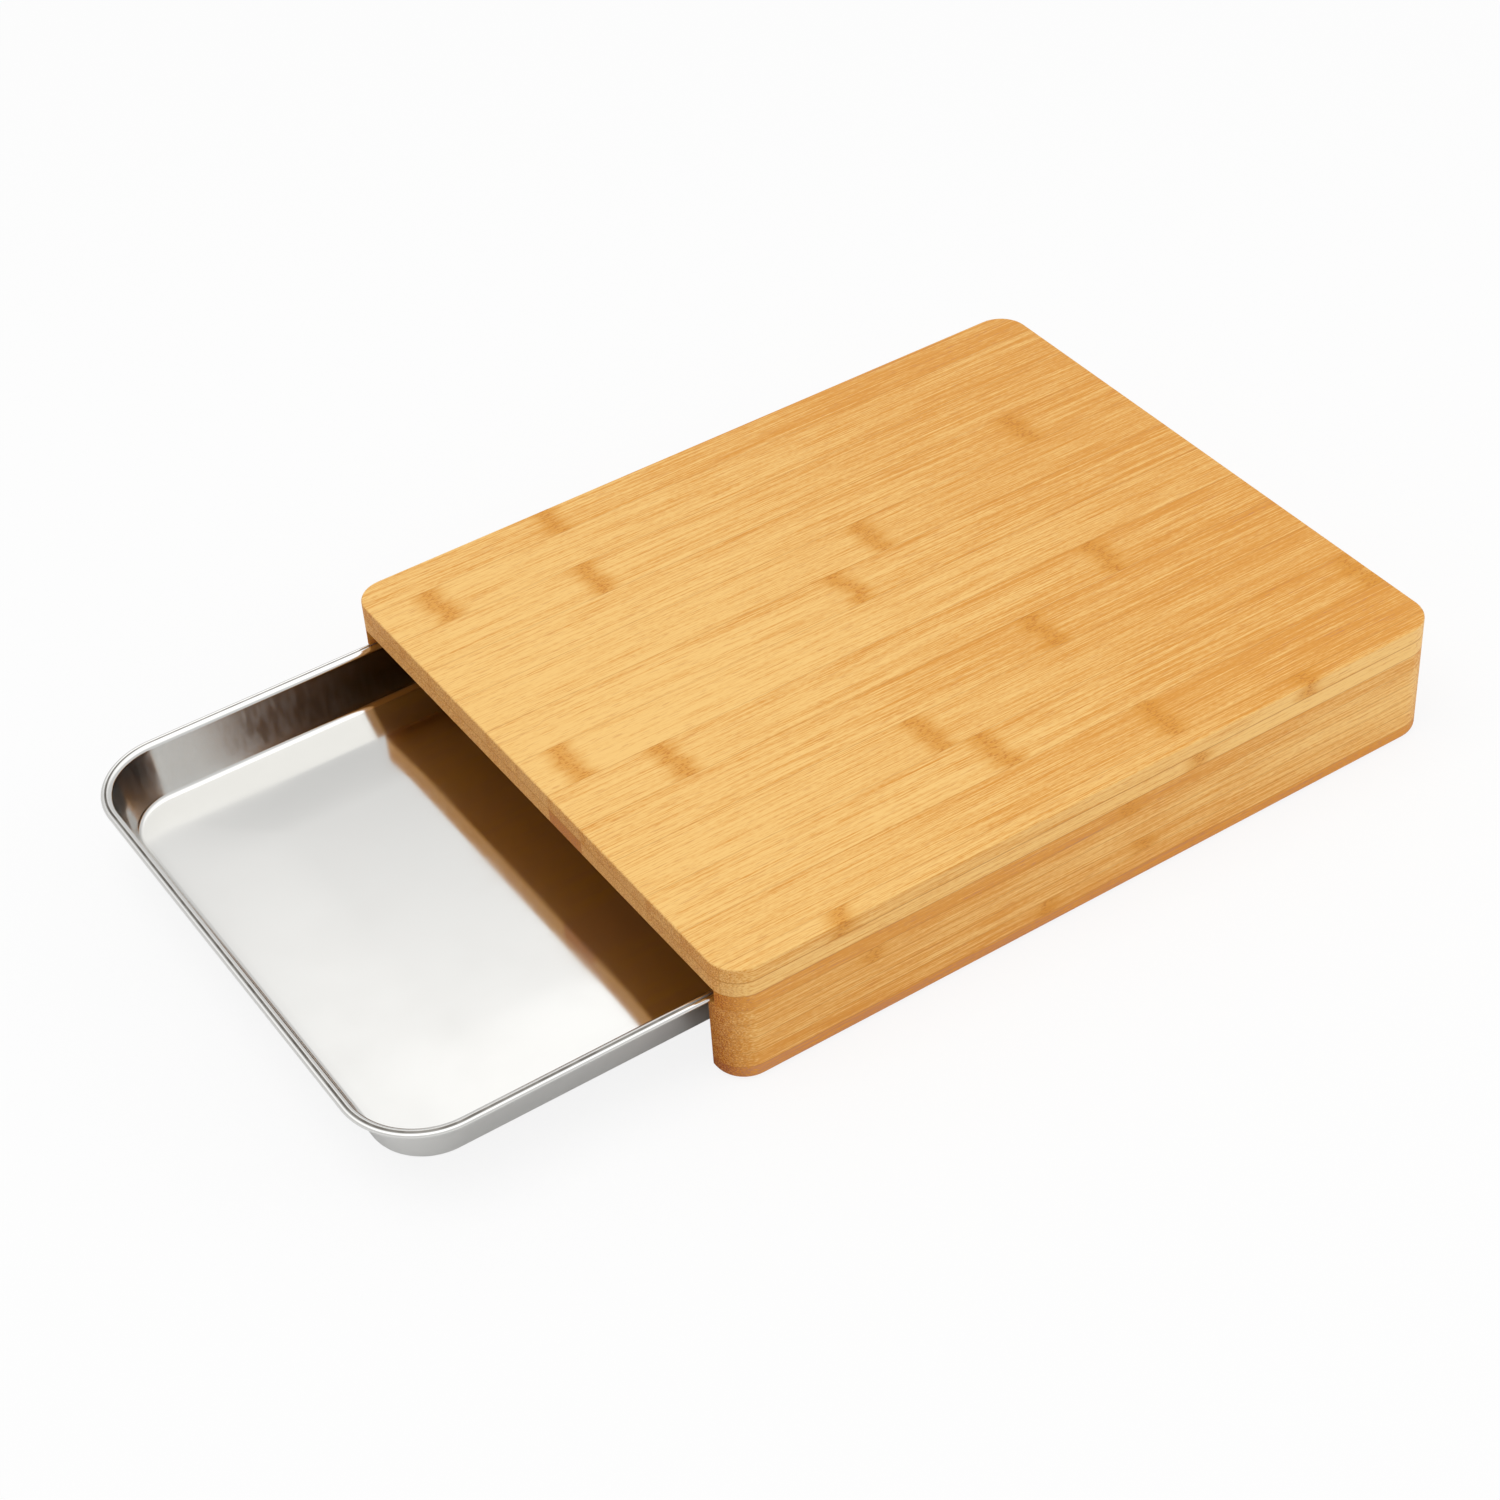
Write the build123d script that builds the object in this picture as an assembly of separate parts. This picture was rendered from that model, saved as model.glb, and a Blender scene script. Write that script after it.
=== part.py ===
from build123d import *
from math import cos, floor, radians, tan
import os

os.makedirs("parts", exist_ok=True)

# A bamboo cutting board on three rails, with a steel tray that slides under it.
# Millimetres. X runs along the grain and the tray's travel, the tray comes out
# towards -X, and +Y is the far side. The origin is the middle of the cutting face,
# so heights are counted down from zero.

# Board: two plies of strips, glued edge to edge, on rails of stacked strips.
board_length = 360.0
board_width = 300.0
corner_radius = 14.0
ply_count = 2
ply_thickness = 7.2
strip_width = 24.75
far_strip_width = 19.8          # the first strip, trimmed with the board's far edge
least_strip_width = 5.0         # the narrowest strip that is glued on by itself
rail_width = 16.0
rail_layers = 6
rail_layer_thickness = 7.7
slot_depth = 4.8                # how far the rim's slot is cut past a rail's inner face
top_edge_round = 0.9
base_edge_round = 4.0
eased_edge = 0.6                # small bevel on edges that a hand meets

# Tray: one pressed sheet with a flange and a rolled bead round it.
sheet_thickness = 0.7
tray_depth = 25.0               # top of the flange to the underside of the floor
tray_corner_radius = 35.0
wall_draft = 17.0               # degrees that each wall leans outwards
flange_width = 4.4              # outer edge of the bead to the inner face of the wall
bead_radius = 1.1
bead_sides = 12                 # flats that stand for the round of so fine a bead
bead_step = 0.1                 # the flange stands this much above the bead
flange_bend = 2.5
floor_bend = 3.0
rim_overlap = 2.9               # how much of the rim lies over a rail's ledge
tray_pull = 142.7               # how far the tray stands out of the board at rest

# Clearances.
rim_clearance = 0.3             # bead to ledge
closed_gap = 1.0                # tray's back wall to the back rail when it is shut
front_setback = 0.0             # tray's front edge behind the board's end when shut

# Heights, from the cutting face down.
slab_underside = -ply_count * ply_thickness
ledge_height = slab_underside - rail_layer_thickness
board_height = ply_count * ply_thickness + rail_layers * rail_layer_thickness
base_height = -board_height

# Half sizes, and the faces that the tray runs between.
half_length = board_length / 2
half_width = board_width / 2
bay_half_width = half_width - rail_width
bay_end = half_length - rail_width
slot_half_width = bay_half_width + slot_depth
slot_end = bay_end + slot_depth

# Tray sizes that follow from the bay it runs in.
wall_lean = tan(radians(wall_draft))
wall_skin = sheet_thickness / cos(radians(wall_draft))
wall_inset = flange_width + sheet_thickness * wall_lean - wall_skin
tray_half_width = bay_half_width + rim_overlap
tray_shut_back = bay_end - closed_gap + wall_inset
tray_shut_front = front_setback - half_length
tray_length = tray_shut_back - tray_shut_front
tray_centre = -half_length - tray_pull + tray_length / 2

bead_height = ledge_height + rim_clearance + bead_radius
flange_height = bead_height + bead_radius + bead_step
floor_underside = flange_height - tray_depth
floor_top = floor_underside + sheet_thickness


def block(x_span, y_span, z_span):
    """A square block between two corners, given as three low-high pairs."""
    spans = (x_span, y_span, z_span)
    sizes = [high - low for low, high in spans]
    middle = [(high + low) / 2 for low, high in spans]
    return Pos(*middle) * Box(*sizes)


def board_outline():
    """The shape that the glued-up board is routed and sanded to."""
    outline = RectangleRounded(board_length, board_width, corner_radius)
    body = Pos(0, 0, base_height) * extrude(outline, board_height)
    body = fillet(body.edges().group_by(Axis.Z)[-1], top_edge_round)
    return fillet(body.edges().group_by(Axis.Z)[0], base_edge_round)


def bevel(edge_point, across, along, length):
    """A three-sided bar that takes the corner off a straight edge."""
    plane = Plane(origin=edge_point, x_dir=across, z_dir=along)
    diamond = plane * Rot(0, 0, 45) * Rectangle(eased_edge * 2 ** 0.5, eased_edge * 2 ** 0.5)
    return extrude(diamond, length / 2, both=True)


def strip_seams():
    """Where the glue lines between strips lie, from the far long edge to the near one.

    What is left at the near edge is a strip of its own, unless it is too narrow to glue
    on. Then it stays on the strip before it.
    """
    first_seam = half_width - far_strip_width
    full_strips = floor((first_seam + half_width - least_strip_width) / strip_width)
    inner = [first_seam - n * strip_width for n in range(full_strips + 1)]
    return [half_width] + inner + [-half_width]


def ply_strips(outline, ply):
    """The strips of one ply, laid side by side along the grain."""
    seams = strip_seams()
    top = -ply * ply_thickness
    strips = []
    for far, near in zip(seams, seams[1:]):
        blank = block((-half_length, half_length), (near, far), (top - ply_thickness, top))
        strips.append(outline & blank)
    return strips


def mouth_bevel():
    """Eases the slab's lower edge over the mouth that the tray slides out of."""
    corner = (-half_length, 0, slab_underside)
    return bevel(corner, (1, 0, 0), (0, 1, 0), 2 * slot_half_width)


def rail_level(level):
    """Low and high face of one layer of a rail. Level 0 is glued to the slab."""
    top = slab_underside - level * rail_layer_thickness
    return top - rail_layer_thickness, top


def side_rail_strips(outline, side):
    """The stack of strips that makes the near (-1) or far (+1) rail.

    The strip under the slab is narrower, which leaves the slot for the tray's rim.
    """
    strips = []
    for level in range(rail_layers):
        inner = slot_half_width if level == 0 else bay_half_width
        reach = sorted((side * inner, side * half_width))
        strip = outline & block((-half_length, half_length), reach, rail_level(level))
        if level > 0:
            mouth = (-half_length, side * inner, sum(rail_level(level)) / 2)
            strip -= bevel(mouth, (1, 0, 0), (0, 0, 1), 2 * rail_layer_thickness)
        if level == rail_layers - 1:
            foot = (0, side * inner, base_height)
            strip -= bevel(foot, (0, 1, 0), (1, 0, 0), 2 * board_length)
        strips.append(strip)
    return strips


def back_rail_strips(outline):
    """The stack of strips that closes the bay at the back, between the side rails."""
    strips = []
    for level in range(rail_layers):
        start = slot_end if level == 0 else bay_end
        reach = slot_half_width if level == 0 else bay_half_width
        strip = outline & block((start, half_length), (-reach, reach), rail_level(level))
        if level == rail_layers - 1:
            foot = (start, 0, base_height)
            strip -= bevel(foot, (1, 0, 0), (0, 1, 0), 2 * board_width)
        strips.append(strip)
    return strips


def rim_half_path():
    """Half of the tray's outer edge, from the middle of its near side round the back."""
    half = tray_length / 2
    wide = tray_half_width
    return FilletPolyline((0, -wide), (half, -wide), (half, wide), (0, wide), radius=tray_corner_radius)


def sheet_section():
    """The pressed sheet cut across: rolled bead, flange, leaning wall and edge of the floor.

    Its first coordinate is the distance inwards from the tray's outer edge, the second
    is the height.
    """
    flange_underside = flange_height - sheet_thickness
    wall_foot = flange_width + (flange_height - floor_top) * wall_lean
    outer_top = wall_inset
    outer_foot = wall_inset + (flange_underside - floor_underside) * wall_lean
    floor_start = wall_foot + floor_bend
    upper = FilletPolyline(
        (bead_radius, flange_height),
        (flange_width, flange_height),
        (wall_foot, floor_top),
        (floor_start, floor_top),
        radius=(flange_bend, floor_bend),
    )
    lower = FilletPolyline(
        (floor_start, floor_underside),
        (outer_foot, floor_underside),
        (outer_top, flange_underside),
        (bead_radius, flange_underside),
        radius=(floor_bend + sheet_thickness, flange_bend - sheet_thickness),
    )
    ends = [Line(upper @ 1, lower @ 0), Line(lower @ 1, upper @ 0)]
    sheet = make_face(Curve() + [upper, lower, *ends])
    bead = Pos(bead_radius, bead_height) * RegularPolygon(bead_radius, bead_sides)
    return sheet + bead, floor_start


def steel_tray():
    """The tray, drawn out as it stands at rest."""
    section, floor_start = sheet_section()
    cut = Plane(origin=(0, -tray_half_width, 0), x_dir=(0, 1, 0), z_dir=(1, 0, 0))
    back_half = sweep(cut * section, path=rim_half_path())
    sides = back_half + mirror(back_half, Plane.YZ)
    floor = RectangleRounded(
        tray_length - 2 * floor_start,
        2 * (tray_half_width - floor_start),
        tray_corner_radius - floor_start,
    )
    plate = Pos(0, 0, floor_underside) * extrude(floor, sheet_thickness)
    return Pos(tray_centre, 0, 0) * (sides + plate)


def all_pieces():
    """Every piece under its own name."""
    outline = board_outline()
    pieces = {}
    for number, strip in enumerate(ply_strips(outline, 0), start=1):
        pieces[f"cutting_face_strip_{number:02d}"] = strip
    for number, strip in enumerate(ply_strips(outline, 1), start=1):
        pieces[f"under_ply_strip_{number:02d}"] = strip - mouth_bevel()
    for number, strip in enumerate(side_rail_strips(outline, -1), start=1):
        pieces[f"near_rail_strip_{number}"] = strip
    for number, strip in enumerate(side_rail_strips(outline, 1), start=1):
        pieces[f"far_rail_strip_{number}"] = strip
    for number, strip in enumerate(back_rail_strips(outline), start=1):
        pieces[f"back_rail_strip_{number}"] = strip
    pieces["steel_tray"] = steel_tray()
    return pieces


for name, piece in all_pieces().items():
    export_step(piece, f"parts/{name}.step")
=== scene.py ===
import bpy
import math
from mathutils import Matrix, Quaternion, Vector


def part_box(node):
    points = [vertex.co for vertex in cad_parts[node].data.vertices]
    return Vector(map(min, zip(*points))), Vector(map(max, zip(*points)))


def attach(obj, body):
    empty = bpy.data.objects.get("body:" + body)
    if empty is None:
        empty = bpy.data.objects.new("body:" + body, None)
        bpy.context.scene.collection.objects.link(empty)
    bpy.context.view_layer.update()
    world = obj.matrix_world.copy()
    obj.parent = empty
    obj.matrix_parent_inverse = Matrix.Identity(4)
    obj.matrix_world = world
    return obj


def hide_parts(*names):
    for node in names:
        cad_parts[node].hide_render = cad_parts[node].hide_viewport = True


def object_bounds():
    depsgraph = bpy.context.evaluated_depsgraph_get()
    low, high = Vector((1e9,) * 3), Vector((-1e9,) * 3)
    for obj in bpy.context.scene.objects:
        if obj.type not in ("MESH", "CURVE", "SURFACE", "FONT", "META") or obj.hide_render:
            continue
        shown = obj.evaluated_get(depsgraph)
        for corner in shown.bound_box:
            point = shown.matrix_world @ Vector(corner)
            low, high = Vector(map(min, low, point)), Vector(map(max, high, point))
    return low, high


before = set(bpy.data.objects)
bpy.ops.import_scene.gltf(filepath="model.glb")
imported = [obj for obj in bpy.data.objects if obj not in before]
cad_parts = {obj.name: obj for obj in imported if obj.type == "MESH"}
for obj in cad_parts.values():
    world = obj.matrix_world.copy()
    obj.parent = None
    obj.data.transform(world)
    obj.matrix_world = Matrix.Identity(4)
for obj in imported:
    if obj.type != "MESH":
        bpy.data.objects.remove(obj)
cad_low, cad_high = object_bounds()


# Camera. It stands off the board's near left corner, looks down over the drawn-out tray,
# and is turned a little about its own line of sight, as the photograph was taken.
camera_target = Vector((-0.0637, 0.0137, -0.0583))
camera_distance = 1.3858
camera_azimuth = math.radians(-31.134)
camera_elevation = math.radians(40.628)
camera_roll = math.radians(-4.061)
camera_lens = 76.236
camera_sensor = 36

camera_data = bpy.data.cameras.new("camera")
camera_data.sensor_width = camera_sensor
camera_data.lens = camera_lens
camera = bpy.data.objects.new("camera", camera_data)
towards_camera = Vector((
    math.sin(camera_azimuth) * math.cos(camera_elevation),
    -math.cos(camera_azimuth) * math.cos(camera_elevation),
    math.sin(camera_elevation),
))
camera.location = camera_target + camera_distance * towards_camera
camera.rotation_mode = "QUATERNION"
level_aim = (-towards_camera).to_track_quat("-Z", "Y")
camera.rotation_quaternion = level_aim @ Quaternion((0, 0, 1), camera_roll)
bpy.context.scene.collection.objects.link(camera)
bpy.context.scene.camera = camera
bpy.context.scene.view_settings.view_transform = "Standard"


# Floor and daylight. A pale matt sheet lies under the board's rails in a white room. The
# room is brighter towards its ceiling, which is what polished steel and oiled wood mirror.
floor_half = 4.0
floor_grey = 0.90
floor_whiteness = 0.86          # share of plain white in the floor, for the camera alone
room_level = 0.72               # the light that the room throws on the object
room_low_wall = 0.78            # how bright the walls are in a mirror, below and above
room_high_wall = 1.37
room_ceiling = 1.60
wall_brightens_from = 0.60      # as the height of a line of sight, where 1 is straight up
wall_brightens_to = 0.75


def shader_node(tree, kind, settings=(), **feeds):
    """Adds a node and feeds its sockets with values or other nodes' outputs.

    A socket goes by its name, or by _ and its number.
    """
    made = tree.nodes.new("ShaderNode" + kind)
    for name, value in dict(settings).items():
        setattr(made, name, value)
    for name, feed in feeds.items():
        socket = made.inputs[int(name[1:])] if name[0] == "_" else made.inputs[name.replace("_", " ")]
        if isinstance(feed, bpy.types.NodeSocket):
            tree.links.new(feed, socket)
        else:
            socket.default_value = feed
    return made


def number(tree, operation, *values):
    """One sum on numbers or outputs."""
    feeds = {f"_{index}": value for index, value in enumerate(values)}
    return shader_node(tree, "Math", {"operation": operation}, **feeds).outputs[0]


def ramp(tree, value, start, end, low=0.0, high=1.0):
    """A smooth change from low to high while the value goes from start to end."""
    smooth = {"interpolation_type": "SMOOTHSTEP"}
    return shader_node(tree, "MapRange", smooth, Value=value, From_Min=start, From_Max=end,
                       To_Min=low, To_Max=high).outputs[0]


def seen_mirrored(tree):
    """1 for what is seen in a mirror or through glass."""
    rays = tree.nodes.new("ShaderNodeLightPath").outputs
    return number(tree, "MAXIMUM", rays["Is Glossy Ray"], rays["Is Transmission Ray"])


def seen_straight(tree):
    """1 for what the camera looks at."""
    return tree.nodes.new("ShaderNodeLightPath").outputs["Is Camera Ray"]


floor_mesh = bpy.data.meshes.new("floor")
floor_corners = [(-floor_half, -floor_half), (floor_half, -floor_half),
                 (floor_half, floor_half), (-floor_half, floor_half)]
floor_mesh.from_pydata([(x, y, cad_low.z) for x, y in floor_corners], [], [(0, 1, 2, 3)])
floor = bpy.data.objects.new("floor", floor_mesh)
bpy.context.scene.collection.objects.link(floor)

floor_paper = bpy.data.materials.new("floor_paper")
floor_paper.use_nodes = True
paper_tree = floor_paper.node_tree
paper_tree.nodes.clear()
paper = shader_node(paper_tree, "BsdfDiffuse", Color=(floor_grey, floor_grey, floor_grey, 1))
white_glow = shader_node(paper_tree, "Emission", Color=(1, 1, 1, 1), Strength=1.0)
paper_share = number(paper_tree, "MULTIPLY", seen_straight(paper_tree), floor_whiteness)
paper_blend = shader_node(paper_tree, "MixShader", _0=paper_share,
                          _1=paper.outputs[0], _2=white_glow.outputs[0])
shader_node(paper_tree, "OutputMaterial", Surface=paper_blend.outputs[0])
floor_mesh.materials.append(floor_paper)

room = bpy.data.worlds.new("white_room")
room.use_nodes = True
room_tree = room.node_tree
room_tree.nodes.clear()
room_direction = room_tree.nodes.new("ShaderNodeTexCoord").outputs["Generated"]
room_height = shader_node(room_tree, "SeparateXYZ", Vector=room_direction).outputs["Z"]
room_wall = ramp(room_tree, room_height, wall_brightens_from, wall_brightens_to,
                 room_low_wall, room_high_wall)
room_top = ramp(room_tree, room_height, wall_brightens_to, 1.0, 0.0, room_ceiling - room_high_wall)
room_mirrored = number(room_tree, "ADD", room_wall, room_top)
room_lit = shader_node(room_tree, "MapRange", Value=seen_straight(room_tree), To_Min=room_level, To_Max=1.0)
room_strength = shader_node(room_tree, "Mix", {"data_type": "FLOAT"}, _0=seen_mirrored(room_tree),
                            _2=room_lit.outputs[0], _3=room_mirrored)
room_glow = shader_node(room_tree, "Background", Color=(1, 1, 1, 1), Strength=room_strength.outputs[0])
shader_node(room_tree, "OutputWorld", Surface=room_glow.outputs[0])
bpy.context.scene.world = room


def soft_box(name, place, aim, width, height, glow):
    """A square lamp whose face is as bright as glow, where 1 is white paper in full light."""
    lamp_data = bpy.data.lights.new(name, "AREA")
    lamp_data.shape = "RECTANGLE"
    lamp_data.size = width
    lamp_data.size_y = height
    lamp_data.energy = glow * math.pi * width * height
    lamp = bpy.data.objects.new(name, lamp_data)
    lamp.location = place
    lamp.rotation_mode = "QUATERNION"
    lamp.rotation_quaternion = (Vector(aim) - Vector(place)).to_track_quat("-Z", "Y")
    lamp.visible_glossy = False
    bpy.context.scene.collection.objects.link(lamp)


soft_box("overhead_soft_box", place=(-0.7, 0.0, 2.0), aim=(-0.1, 0, 0), width=1.5, height=1.2, glow=2.15)
soft_box("near_soft_box", place=(1.1, -1.0, 0.7), aim=(0.05, 0, -0.03), width=0.9, height=0.7, glow=1.85)


# Cutting face: thirteen planed bamboo strips glued edge to edge, with the grain along X.
# Each was split from its own cane, so each has its own tone and its own knuckles, the
# places where the cane was jointed.
board_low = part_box("near_rail_strip_6")[0]
board_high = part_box("far_rail_strip_1")[1]
nowhere = 9.0                   # a place far off the board, for a knuckle or plane it lacks
seed_spread = 17.31             # how far apart two seeds' grain is cut from the same noise
grain_raggedness = 0.55

# Split bamboo's colours, from the heart of the cane to its skin, and the tones they stand for.
pale_bamboo = (0.930, 0.580, 0.190)
honey_bamboo = (0.722, 0.303, 0.038)
amber_bamboo = (0.600, 0.250, 0.088)
pale_tone = -0.70
honey_tone = 2.10
amber_start = 2.35
amber_tone = 3.20

# Marks in the wood: each one's length along the grain and its width, and how far it moves the tone.
streak, streak_depth = (0.20, 0.0055), 1.1
fibre, fibre_depth = (0.085, 0.0007), 2.9
fine_fibre, fine_fibre_depth = (0.030, 0.0005), 4.4
pore, pore_depth = (0.0028, 0.0005), 1.6
cane_bend, cane_wander = (0.16, 0.05), 0.0004

# Dark dashes: where the noise that makes them starts and ends, and how much they cover.
dash, dash_noise, dash_share = (0.009, 0.0006), (0.58, 0.72), 0.42
dark_fibre = (0.600, 0.235, 0.045)

# Knuckles: rows of short brown flecks across the strip, in a warmer patch with ragged ends.
knuckle_core = 0.00126
knuckle_reach = 0.0063
knuckle_halo = 0.011
knuckle_edge, knuckle_stray = (0.03, 0.0045), 0.006
knuckle_glow, glow_share = (0.700, 0.292, 0.024), 0.74
knuckle_fleck, fleck_share = (0.560, 0.195, 0.016), 0.80
fleck, fleck_noise = (0.0022, 0.0006), (0.50, 0.64)

# Sawn ends show the fibres as dots, and drink up more oil.
end_grain_tint = (0.55, 0.335, 0.32)
end_dot, end_dot_noise, end_dot_shares = (0.004, 0.0006), (0.38, 0.62), (0.40, 1.15)
planed_end_depth = 0.62

# Glue: full up to the first distance from a joint, gone by the second, and how much it covers.
glue_brown = (0.450, 0.160, 0.010)
layer_glue, layer_glue_share = (0.000088, 0.00044), 0.62
strip_glue, strip_glue_share = (0.000066, 0.000396), 0.32

# The oiled surface: its gloss, and how far each mark stands up or lies below it.
oiled_roughness = 0.34
fibre_roughness = 0.24
end_roughness = 0.25
oiled_sheen = 0.36
end_sheen = 0.10
relief_height = 0.00012
relief_strength = 0.30
fibre_relief = 0.6
fine_fibre_relief = 0.4
fleck_relief = -0.1
glue_relief = -1.0

# Painted light and shade over the whole board, and how far a surface has to turn to count as facing a way.
faces_with = (0.3, 0.8)
faces_against = (-0.9, -0.5)
# Painted light and shade: the cutting face paler towards the tray's open end and deeper towards the back,
# the near side paler towards the back.
face_light_from, face_mouth_light_tone, face_back_shade_tone = -0.17, -0.55, 0.80
side_light_from, side_back_light_tone = -0.04, -0.95
worn_edge_tone = -1.4
edge_band_core = 0.00279
edge_band_width = 0.0062


def grain(tree, place, seed, size, detail):
    """Noise drawn out along the grain, in cells of this length and width.

    The place is along, across and up through the cane. Each seed gives other cells.
    """
    along, across, up = place
    length, width = size
    shift = number(tree, "MULTIPLY", seed, seed_spread)
    stretched = shader_node(
        tree, "CombineXYZ",
        X=number(tree, "MULTIPLY_ADD", along, 1 / length, shift),
        Y=number(tree, "MULTIPLY", across, 1 / width),
        Z=number(tree, "MULTIPLY_ADD", up, 1 / width, shift),
    )
    return shader_node(tree, "TexNoise", Vector=stretched.outputs[0], Scale=1.0, Detail=detail,
                       Roughness=grain_raggedness).outputs["Fac"]


def tinted(tree, share, first, second, blend="MIX"):
    """Two colours mixed, or the first one multiplied by the second, by a share."""
    made = shader_node(tree, "Mix", {"data_type": "RGBA", "blend_type": blend}, _0=share)
    for index, colour in ((6, first), (7, second)):
        if isinstance(colour, bpy.types.NodeSocket):
            tree.links.new(colour, made.inputs[index])
        else:
            made.inputs[index].default_value = (*colour, 1)
    return made.outputs[2]


def centred(tree, noise, reach):
    """Noise between 0 and 1, turned into a number that goes half of the reach up and down."""
    return number(tree, "MULTIPLY_ADD", noise, reach, -reach / 2)


def make_bamboo_group():
    """The look of split bamboo, from a place along, across and up through one strip."""
    group = bpy.data.node_groups.new("bamboo", "ShaderNodeTree")
    for name in ("Along", "Across", "Up", "Seed", "First Knuckle", "Second Knuckle",
                 "Shade", "To Glue", "To Seam", "End Grain"):
        group.interface.new_socket(name, in_out="INPUT", socket_type="NodeSocketFloat")
    group.interface.new_socket("Colour", in_out="OUTPUT", socket_type="NodeSocketColor")
    for name in ("Roughness", "Height"):
        group.interface.new_socket(name, in_out="OUTPUT", socket_type="NodeSocketFloat")
    given = group.nodes.new("NodeGroupInput").outputs
    along, across, up, seed = (given[name] for name in ("Along", "Across", "Up", "Seed"))

    # The cane isn't quite straight, so its fibres wander a little across the strip.
    wander = grain(group, (along, across, up), seed, cane_bend, 1.0)
    across = number(group, "ADD", across, centred(group, wander, 2 * cane_wander))
    place = (along, across, up)

    # What each kind of mark does to the tone, and the colour that the tone stands for.
    streaks = grain(group, place, seed, streak, 2.0)
    fibres = grain(group, place, seed, fibre, 1.0)
    fine_fibres = grain(group, place, seed, fine_fibre, 1.0)
    pores = grain(group, place, seed, pore, 0.0)
    tone = given["Shade"]
    for marks, depth in ((streaks, streak_depth), (fibres, fibre_depth),
                         (fine_fibres, fine_fibre_depth), (pores, pore_depth)):
        tone = number(group, "ADD", tone, centred(group, marks, depth))
    colour = tinted(group, ramp(group, tone, pale_tone, honey_tone), pale_bamboo, honey_bamboo)
    colour = tinted(group, ramp(group, tone, amber_start, amber_tone), colour, amber_bamboo)
    dashes = grain(group, place, seed, dash, 1.0)
    dark_share = number(group, "MULTIPLY", ramp(group, dashes, *dash_noise), dash_share)
    colour = tinted(group, dark_share, colour, dark_fibre)

    # How far the nearest knuckle is, and what of its halo and flecks is here.
    ragged = centred(group, grain(group, place, seed, knuckle_edge, 2.0), 2 * knuckle_stray)
    gaps = []
    for name in ("First Knuckle", "Second Knuckle"):
        offset = number(group, "SUBTRACT", number(group, "ADD", along, ragged), given[name])
        gaps.append(number(group, "ABSOLUTE", offset))
    gap = number(group, "MINIMUM", *gaps)
    halo = ramp(group, gap, 0.0, knuckle_halo, 1.0, 0.0)
    in_knuckle = ramp(group, gap, knuckle_core, knuckle_reach, 1.0, 0.0)
    flecks = ramp(group, grain(group, place, seed, fleck, 1.0), *fleck_noise)
    flecks = number(group, "MULTIPLY", flecks, in_knuckle)
    colour = tinted(group, number(group, "MULTIPLY", halo, glow_share), colour, knuckle_glow)
    colour = tinted(group, number(group, "MULTIPLY", flecks, fleck_share), colour, knuckle_fleck)

    # Sawn ends, then the glue lines over everything.
    dots = ramp(group, grain(group, place, seed, end_dot, 1.0), *end_dot_noise, *end_dot_shares)
    end_share = number(group, "MULTIPLY", given["End Grain"], dots)
    colour = tinted(group, end_share, colour, end_grain_tint, "MULTIPLY")
    glue = number(group, "MAXIMUM",
                  ramp(group, given["To Glue"], *layer_glue, layer_glue_share, 0.0),
                  ramp(group, given["To Seam"], *strip_glue, strip_glue_share, 0.0))
    colour = tinted(group, glue, colour, glue_brown)

    height = number(group, "MULTIPLY", fine_fibres, fine_fibre_relief)
    for marks, relief in ((fibres, fibre_relief), (flecks, fleck_relief), (glue, glue_relief)):
        height = number(group, "MULTIPLY_ADD", marks, relief, height)
    roughness = number(group, "MULTIPLY_ADD", fibres, fibre_roughness, oiled_roughness)
    roughness = number(group, "MULTIPLY_ADD", given["End Grain"], end_roughness, roughness)
    result = group.nodes.new("NodeGroupOutput")
    for name, value in (("Colour", colour), ("Roughness", roughness), ("Height", height)):
        group.links.new(value, result.inputs[name])
    return group


def nearest_plane(tree, axes, planes):
    """How far a point is from the nearest of these planes, each an axis and a place on it."""
    nearest = nowhere
    for axis, plane in planes:
        away = number(tree, "ABSOLUTE", number(tree, "SUBTRACT", axes[axis], plane))
        nearest = number(tree, "MINIMUM", nearest, away)
    return nearest


bamboo_group = make_bamboo_group()


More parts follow.
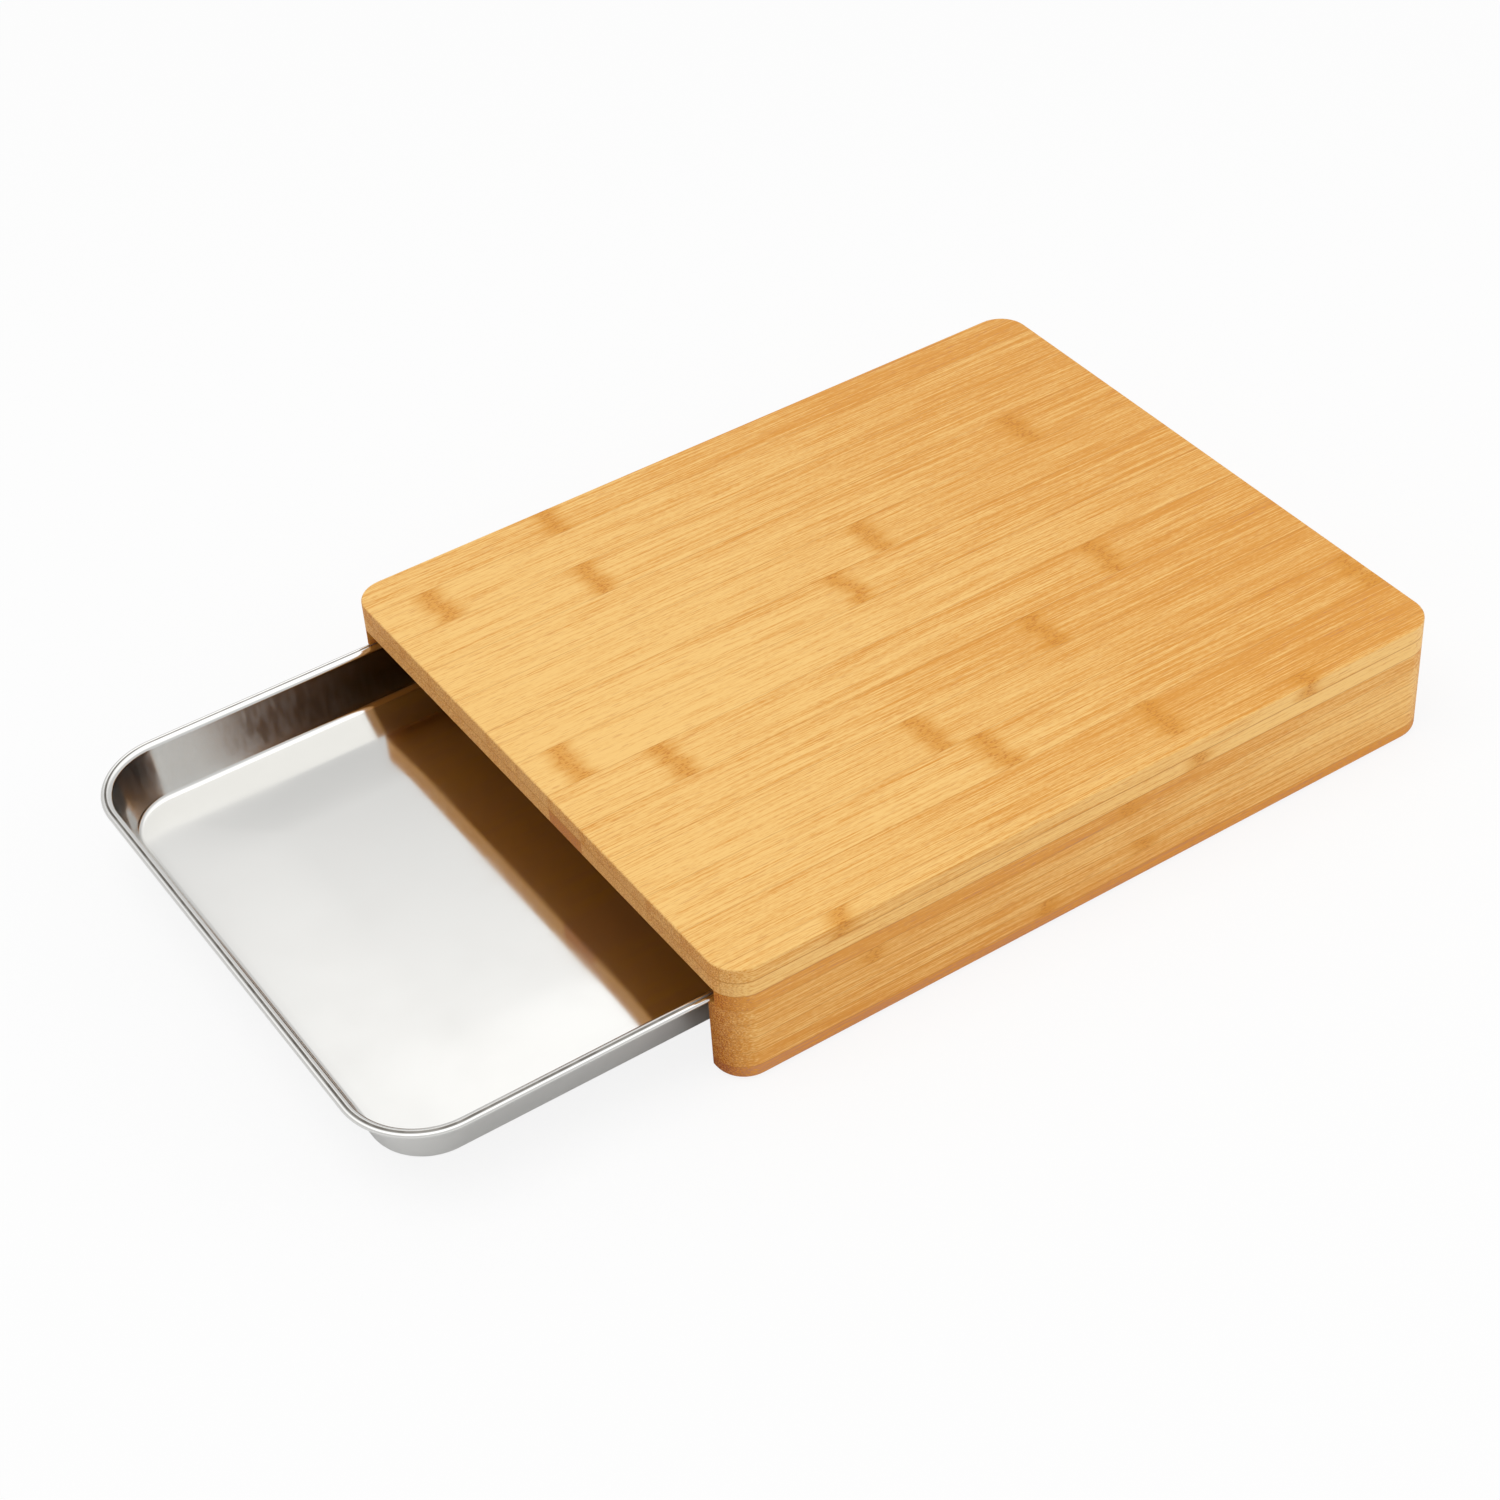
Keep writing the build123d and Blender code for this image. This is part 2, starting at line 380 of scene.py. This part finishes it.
def bamboo(name, shade, seed, knuckles=(), glued=(), along="X", seams=(), edge_band=0.0,
           underside_shade=0.0, end_depth=1.0):
    """The finish of one strip: its tone, its knuckles, and the glued planes it ends at.

    Glued planes between layers are plain to see, the seams between strips of one layer
    only just. A strip that was planed close to the cane's skin is darker by its far seam,
    and a face that looks down is painted darker and browner, a painted shade. Rounded
    edges are worn paler. The cutting face is painted paler towards the end where the tray
    comes out and deeper at the back, and the near side paler at the back: painted light and shade.
    """
    material = bpy.data.materials.new(name)
    material.use_nodes = True
    tree = material.node_tree
    tree.nodes.clear()
    place = tree.nodes.new("ShaderNodeTexCoord")
    axes = shader_node(tree, "SeparateXYZ", Vector=place.outputs["Object"]).outputs
    facing = shader_node(tree, "SeparateXYZ", Vector=place.outputs["Normal"]).outputs

    # Painted light and shade: the cutting face paler at the tray's end and deeper at the back, the near
    # side paler at the back.
    face_painted_light = number(
        tree, "MULTIPLY",
        ramp(tree, axes["X"], face_light_from, board_high.x, face_mouth_light_tone, face_back_shade_tone),
        ramp(tree, facing["Z"], *faces_with))
    side_painted_light = number(
        tree, "MULTIPLY",
        ramp(tree, axes["X"], side_light_from, board_high.x, 0.0, side_back_light_tone),
        ramp(tree, facing["Y"], *faces_against, 1.0, 0.0))
    tone = number(tree, "ADD", shade, number(tree, "ADD", face_painted_light, side_painted_light))
    if edge_band:
        axis, far_seam = max(seams)
        inwards = number(tree, "SUBTRACT", far_seam, axes[axis])
        band = ramp(tree, inwards, edge_band_core, edge_band_width, edge_band, 0.0)
        tone = number(tree, "ADD", tone, band)
    upward = number(tree, "MULTIPLY", facing["Z"], facing["Z"])
    rounded = number(tree, "MULTIPLY", upward, number(tree, "SUBTRACT", 1.0, upward))
    tone = number(tree, "MULTIPLY_ADD", rounded, worn_edge_tone, tone)
    # Painted shade: faces that look down are made darker and browner.
    tone = number(tree, "ADD", tone, ramp(tree, facing["Z"], *faces_against, underside_shade, 0.0))

    end_grain = number(tree, "MULTIPLY", facing[along], facing[along])
    end_grain = number(tree, "MULTIPLY", end_grain, end_depth)
    first_knuckle, second_knuckle = (*knuckles, nowhere, nowhere)[:2]
    look = shader_node(
        tree, "Group", {"node_tree": bamboo_group},
        Along=axes[along], Across=axes["Y" if along == "X" else "X"], Up=axes["Z"], Seed=seed,
        First_Knuckle=first_knuckle, Second_Knuckle=second_knuckle, Shade=tone,
        To_Glue=nearest_plane(tree, axes, glued), To_Seam=nearest_plane(tree, axes, seams),
        End_Grain=end_grain,
    ).outputs
    sheen = number(tree, "MULTIPLY_ADD", end_grain, end_sheen - oiled_sheen, oiled_sheen)
    relief = shader_node(tree, "Bump", Strength=relief_strength, Distance=relief_height,
                         Height=look["Height"])
    oiled = shader_node(tree, "BsdfPrincipled", Base_Color=look["Colour"], Roughness=look["Roughness"],
                        Normal=relief.outputs[0], Specular_IOR_Level=sheen)
    shader_node(tree, "OutputMaterial", Surface=oiled.outputs[0])
    return material


def finish_node(name, material):
    """Gives a wooden piece its own finish."""
    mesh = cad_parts[name].data
    mesh.materials.clear()
    mesh.materials.append(material)


def side_seams(strip):
    """The seams at a ply strip's two long sides, less the one that is the board's own edge."""
    low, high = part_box(strip)
    return [("Y", y) for y in (low.y, high.y) if board_low.y < y < board_high.y]


# From the far strip to the near one: how deep each strip's tone is, how much darker it is
# by its far seam, and where along it its knuckles lie.
face_shades = (0.82, 0.44, 0.36, 0.34, 0.24, 0.34, 0.10, 0.38, 0.55, 0.43, 0.40, 0.74, 0.54)
face_edge_bands = (0.0, 0.0, 0.35, 0.32, 0.20, 0.35, 0.0, 0.50, 0.48, 0.20, 0.40, 0.25, 0.0)
face_knuckles = (
    (-0.082,), (-0.153,), (-0.089,), (0.125,), (0.024,), (-0.0045,), (-0.162,),
    (-0.127, 0.096), (0.043,), (-0.035,), (-0.020, 0.175), (0.046,), (-0.126, 0.109),
)
face_seed_step = 0.37
ply_joint = ("Z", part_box("cutting_face_strip_01")[0].z)
face_strips = zip(face_shades, face_edge_bands, face_knuckles)
for count, (shade, edge_band, knuckles) in enumerate(face_strips, start=1):
    strip = f"cutting_face_strip_{count:02d}"
    finish_node(strip, bamboo(strip, shade, count * face_seed_step, knuckles, [ply_joint],
                              seams=side_seams(strip), edge_band=edge_band,
                              end_depth=planed_end_depth))


# Under ply: thirteen more strips, glued below the cutting face to keep it flat. Only
# their ends and the two outer ones show, and their undersides in the tray's polish.
under_shades = (0.30, 0.42, 0.36, 0.50, 0.40, 0.46, 0.38, 2.80, 0.40, 0.36, 0.44, 0.38, 0.05)
under_knuckles = {13: (0.050,)}
# How much darker and browner the under ply's downward faces are painted, a painted shade.
under_underside_shade = 2.4
under_first_seed = 20
under_seed_step = 0.41
rail_joint = ("Z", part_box("under_ply_strip_01")[0].z)
for count, shade in enumerate(under_shades, start=1):
    strip = f"under_ply_strip_{count:02d}"
    seed = under_first_seed + count * under_seed_step
    finish_node(strip, bamboo(strip, shade, seed, under_knuckles.get(count, ()), [ply_joint, rail_joint],
                              seams=side_seams(strip), underside_shade=under_underside_shade,
                              end_depth=planed_end_depth))


# Side rails: six strips laid flat on each other and glued. The top one is narrower on the
# inside, which leaves the slot that the tray's rim runs in.
# The foot strip's deep tone is partly its own darker cane and partly painted shade along the rail's foot.
rail_shades = (1.95, 1.16, 1.00, 1.14, 1.42, 3.00)
rail_knuckles = {1: (0.015,), 2: (-0.113,), 4: (0.022,), 5: (-0.027,)}
rail_first_seeds = {"near_rail": 40, "far_rail": 45}
rail_seed_step = 0.43
foot_margin = 0.0002


def layer_joints(strip):
    """The joints above and below a rail's strip. The rail's foot is none."""
    low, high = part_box(strip)
    return [("Z", z) for z in (low.z, high.z) if z > board_low.z + foot_margin]


for rail, first_seed in rail_first_seeds.items():
    for count, shade in enumerate(rail_shades, start=1):
        strip = f"{rail}_strip_{count}"
        seed = first_seed + count * rail_seed_step
        finish_node(strip, bamboo(strip, shade, seed, rail_knuckles.get(count, ()),
                                  seams=layer_joints(strip)))


# Back rail: six more strips across the back, between the side rails, with the grain
# along Y.
# As on the side rails, the foot strip's deep tone is partly its own darker cane and partly painted shade.
back_shades = (1.85, 1.00, 1.16, 0.98, 1.24, 2.85)
back_knuckles = {2: (-0.06,), 3: (0.085,), 5: (0.02,)}
back_first_seed = 60
back_seed_step = 0.47
for count, shade in enumerate(back_shades, start=1):
    strip = f"back_rail_strip_{count}"
    low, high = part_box(strip)
    seed = back_first_seed + count * back_seed_step
    finish_node(strip, bamboo(strip, shade, seed, back_knuckles.get(count, ()), layer_joints(strip),
                              along="Y", seams=[("Y", low.y), ("Y", high.y)]))


# Tray: one sheet of stainless steel, pressed, with a flange and a rolled bead, then
# polished. It lies loose on the rails and slides out over the open end. Pressing leaves
# its floor a little domed, so it falls away towards the walls.
tray_low, tray_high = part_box("steel_tray")
tray_depth = tray_high.z - tray_low.z
tray_corner = 0.035
tray_sheet = 0.0007
wall_lean = 17.0                # degrees that each wall leans outwards
wall_slope = math.tan(math.radians(wall_lean))
bead_radius = 0.0011
bead_step = 0.0001              # the flange stands this much above the bead
flange_width = 0.0044
flange_bend = 0.0025
floor_bend = 0.0030
floor_dome = 0.0009
dome_reach = 0.052
sharpest_corner = 0.002

# The groove between bead and flange, as insets and heights, and where the bead's round
# starts and ends, in degrees.
groove_slope = [(0.00240, -0.00004), (0.00225, -0.00016), (0.00210, -0.00036)]
groove_insets = (0.0017, 0.0025)
groove_depth = 0.0006
bead_turns = (38, 387)

# How finely the mesh is divided.
corner_steps = 28
side_steps = 18
bead_steps = 30
floor_bend_steps = 10
flange_bend_steps = 9
outer_floor_bend_steps = 8
outer_flange_bend_steps = 5
dome_steps = 14
floor_middle_insets = [0.118, 0.098]


def set_back(radius):
    """How far from its corner a bend of this radius starts, where a wall meets the flat."""
    return radius * math.tan(math.radians(90 - wall_lean) / 2)


# Where the flat of the floor starts, counted in from the tray's outer edge.
floor_edge = flange_width + (tray_depth - tray_sheet) * wall_slope + set_back(floor_bend)


def bend(centre, radius, start, end, steps):
    """Points of a round bend in the sheet, by its angles in degrees."""
    points = []
    for step in range(steps + 1):
        angle = math.radians(start + (end - start) * step / steps)
        points.append((centre[0] + radius * math.cos(angle), centre[1] + radius * math.sin(angle)))
    return points


def dome_share(distance):
    """How much of the floor's dome there is this far in from where a wall's bend ends."""
    share = min(max(distance / dome_reach, 0), 1)
    return share * share * (3 - 2 * share)


def rim_ring(inset, height):
    """One line of points round the tray, this far inside its outer edge."""
    radius = max(tray_corner - inset, sharpest_corner)
    middle_x = (tray_high.x + tray_low.x) / 2
    reach_x = (tray_high.x - tray_low.x) / 2
    reach_y = (tray_high.y - tray_low.y) / 2
    half_x = reach_x - inset - radius
    half_y = reach_y - inset - radius
    corners = ((1, 1), (-1, 1), (-1, -1), (1, -1))
    outline = []
    for quarter, (side_x, side_y) in enumerate(corners):
        centre = (side_x * half_x, side_y * half_y)
        outline += bend(centre, radius, 90 * quarter, 90 * (quarter + 1), corner_steps)
        next_x, next_y = corners[(quarter + 1) % 4]
        turned = math.radians(90 * (quarter + 1))
        start = outline[-1]
        end = (next_x * half_x + radius * math.cos(turned), next_y * half_y + radius * math.sin(turned))
        for step in range(1, side_steps):
            share = step / side_steps
            outline.append((start[0] + (end[0] - start[0]) * share, start[1] + (end[1] - start[1]) * share))
    ring = []
    for x, y in outline:
        dome = 0.0
        if inset > floor_edge:
            dome = floor_dome * dome_share(reach_x - floor_edge - abs(x))
            dome *= dome_share(reach_y - floor_edge - abs(y))
        ring.append((middle_x + x, y, tray_high.z + height + dome))
    return ring


def sheet_profile():
    """The sheet's skin from the middle of the floor, up, over the rim and back underneath."""
    drop = tray_depth - tray_sheet
    dome_insets = [floor_edge + dome_reach * step / dome_steps for step in range(dome_steps, 0, -1)]
    floor_insets = floor_middle_insets + dome_insets
    profile = [(inset, -drop) for inset in floor_insets]
    profile += bend((floor_edge, floor_bend - drop), floor_bend, 270, 180 + wall_lean, floor_bend_steps)
    flange_end = flange_width - set_back(flange_bend)
    profile += bend((flange_end, -flange_bend), flange_bend, wall_lean, 90, flange_bend_steps)
    profile += groove_slope
    profile += bend((bead_radius, -bead_radius - bead_step), bead_radius, *bead_turns, bead_steps)

    # The outer skin lies the sheet's thickness below, so its bends differ by that much.
    outer_top = flange_width + tray_sheet * wall_slope - tray_sheet / math.cos(math.radians(wall_lean))
    outer_foot = outer_top + (tray_depth - tray_sheet) * wall_slope
    inner_bend = flange_bend - tray_sheet
    outer_bend = floor_bend + tray_sheet
    top_centre = (outer_top - set_back(inner_bend), -tray_sheet - inner_bend)
    foot_centre = (outer_foot + set_back(outer_bend), outer_bend - tray_depth)
    profile += bend(top_centre, inner_bend, 90, wall_lean, outer_flange_bend_steps)
    profile += bend(foot_centre, outer_bend, 180 + wall_lean, 270, outer_floor_bend_steps)
    profile += [(inset, -tray_depth) for inset in reversed(floor_insets)]
    return profile


profile = sheet_profile()
ring_size = 4 * (corner_steps + side_steps)
tray_points = []
for inset, height in profile:
    tray_points += rim_ring(inset, height)
tray_faces = []
for ring in range(len(profile) - 1):
    for point in range(ring_size):
        after = (point + 1) % ring_size
        tray_faces.append((ring * ring_size + point, ring * ring_size + after,
                           (ring + 1) * ring_size + after, (ring + 1) * ring_size + point))
last_ring = (len(profile) - 1) * ring_size
tray_faces.append(tuple(reversed(range(ring_size))))
tray_faces.append(tuple(range(last_ring, last_ring + ring_size)))
tray_mesh = bpy.data.meshes.new("polished_tray")
tray_mesh.from_pydata(tray_points, [], [tuple(reversed(face)) for face in tray_faces])
tray_mesh.polygons.foreach_set("use_smooth", [True] * len(tray_mesh.polygons))
tray_mesh.update()
polished_tray = bpy.data.objects.new("polished_tray", tray_mesh)
bpy.context.scene.collection.objects.link(polished_tray)
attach(polished_tray, "tray")
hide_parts("steel_tray")

# Polished steel: smudged here and there, with fine polishing lines, drawn a little
# rougher up the walls, and more worn towards the front, where hands take hold of it. Each
# noise is given by the values at which its mark starts and is full.
steel = (0.735, 0.730, 0.710)
smudged_steel, smudge_share = (0.58, 0.56, 0.53), 0.05
smudge_scale, smudge_noise, smudge_tint_noise = 28.0, (0.35, 0.70), (0.40, 0.75)
clean_roughness = 0.060
smudged_roughness = 0.105
polish_line, polish_noise, polish_roughness = (0.05, 0.0004), (0.3, 0.7), 0.02
draw_line, draw_noise, draw_roughness = (0.050, 0.0035), (0.35, 0.65), 0.04
wear_roughness, wear_starts, wear_ends = 0.09, 0.02, 0.16
polish_seed = 3.0
draw_seed = 5.0
wall_foot = (0.0015, 0.006)     # above the floor
wall_top = (0.0035, 0.0010)     # below the rim

tray_steel = bpy.data.materials.new("polished_steel")
tray_steel.use_nodes = True
steel_tree = tray_steel.node_tree
steel_tree.nodes.clear()
tray_place = steel_tree.nodes.new("ShaderNodeTexCoord").outputs["Object"]
tray_axes = shader_node(steel_tree, "SeparateXYZ", Vector=tray_place).outputs
tray_x, tray_y, tray_z = (tray_axes[axis] for axis in "XYZ")
smudges = shader_node(steel_tree, "TexNoise", Vector=tray_place, Scale=smudge_scale,
                      Detail=3.0).outputs["Fac"]
polish_lines = grain(steel_tree, (tray_x, tray_y, tray_z), polish_seed, polish_line, 2.0)
draw_lines = grain(steel_tree, (tray_z, tray_x, tray_y), draw_seed, draw_line, 1.0)
floor_level = tray_low.z + tray_sheet
in_wall = number(
    steel_tree, "MULTIPLY",
    ramp(steel_tree, tray_z, floor_level + wall_foot[0], floor_level + wall_foot[1]),
    ramp(steel_tree, tray_z, tray_high.z - wall_top[0], tray_high.z - wall_top[1], 1.0, 0.0))
steel_roughness = number(
    steel_tree, "ADD",
    ramp(steel_tree, smudges, *smudge_noise, clean_roughness, smudged_roughness),
    ramp(steel_tree, polish_lines, *polish_noise, 0.0, polish_roughness))
front_wear = ramp(steel_tree, tray_x, tray_low.x + wear_starts, tray_low.x + wear_ends, wear_roughness, 0.0)
steel_roughness = number(steel_tree, "ADD", steel_roughness, front_wear)
drawn_wall = ramp(steel_tree, draw_lines, *draw_noise, 0.0, draw_roughness)
steel_roughness = number(steel_tree, "MULTIPLY_ADD", in_wall, drawn_wall, steel_roughness)
smudge_tint = ramp(steel_tree, smudges, *smudge_tint_noise, 0.0, smudge_share)
steel_colour = tinted(steel_tree, smudge_tint, steel, smudged_steel)
steel_surface = shader_node(steel_tree, "BsdfPrincipled", Base_Color=steel_colour, Metallic=1.0,
                            Roughness=steel_roughness)
shader_node(steel_tree, "OutputMaterial", Surface=steel_surface.outputs[0])
tray_mesh.materials.append(tray_steel)

# The groove between bead and flange gets a dark steel of its own: painted shade, for the dark line along
# the crease.
groove_shade_grey = (0.30, 0.285, 0.26)
groove_deep_shade = (0.20, 0.185, 0.165)
groove_roughness = 0.35
groove_shade_scale, groove_shade_range = 140.0, (0.35, 0.65)

shaded_groove_steel = bpy.data.materials.new("shaded_groove_steel")
shaded_groove_steel.use_nodes = True
groove_tree = shaded_groove_steel.node_tree
groove_tree.nodes.clear()
groove_place = groove_tree.nodes.new("ShaderNodeTexCoord").outputs["Object"]
groove_shade_noise = shader_node(groove_tree, "TexNoise", Vector=groove_place, Scale=groove_shade_scale,
                    Detail=2.0).outputs["Fac"]
# Painted shade: the groove's steel is dark, and darker still in patches.
groove_shade_colour = tinted(groove_tree, ramp(groove_tree, groove_shade_noise, *groove_shade_range), groove_shade_grey, groove_deep_shade)
groove_surface = shader_node(groove_tree, "BsdfPrincipled", Base_Color=groove_shade_colour, Metallic=1.0,
                             Roughness=groove_roughness)
shader_node(groove_tree, "OutputMaterial", Surface=groove_surface.outputs[0])
tray_mesh.materials.append(shaded_groove_steel)
for ring in range(len(profile) - 1):
    middle_inset = (profile[ring][0] + profile[ring + 1][0]) / 2
    middle_height = (profile[ring][1] + profile[ring + 1][1]) / 2
    if groove_insets[0] < middle_inset < groove_insets[1] and middle_height > -groove_depth:
        for face in range(ring * ring_size, (ring + 1) * ring_size):
            tray_mesh.polygons[face].material_index = 1
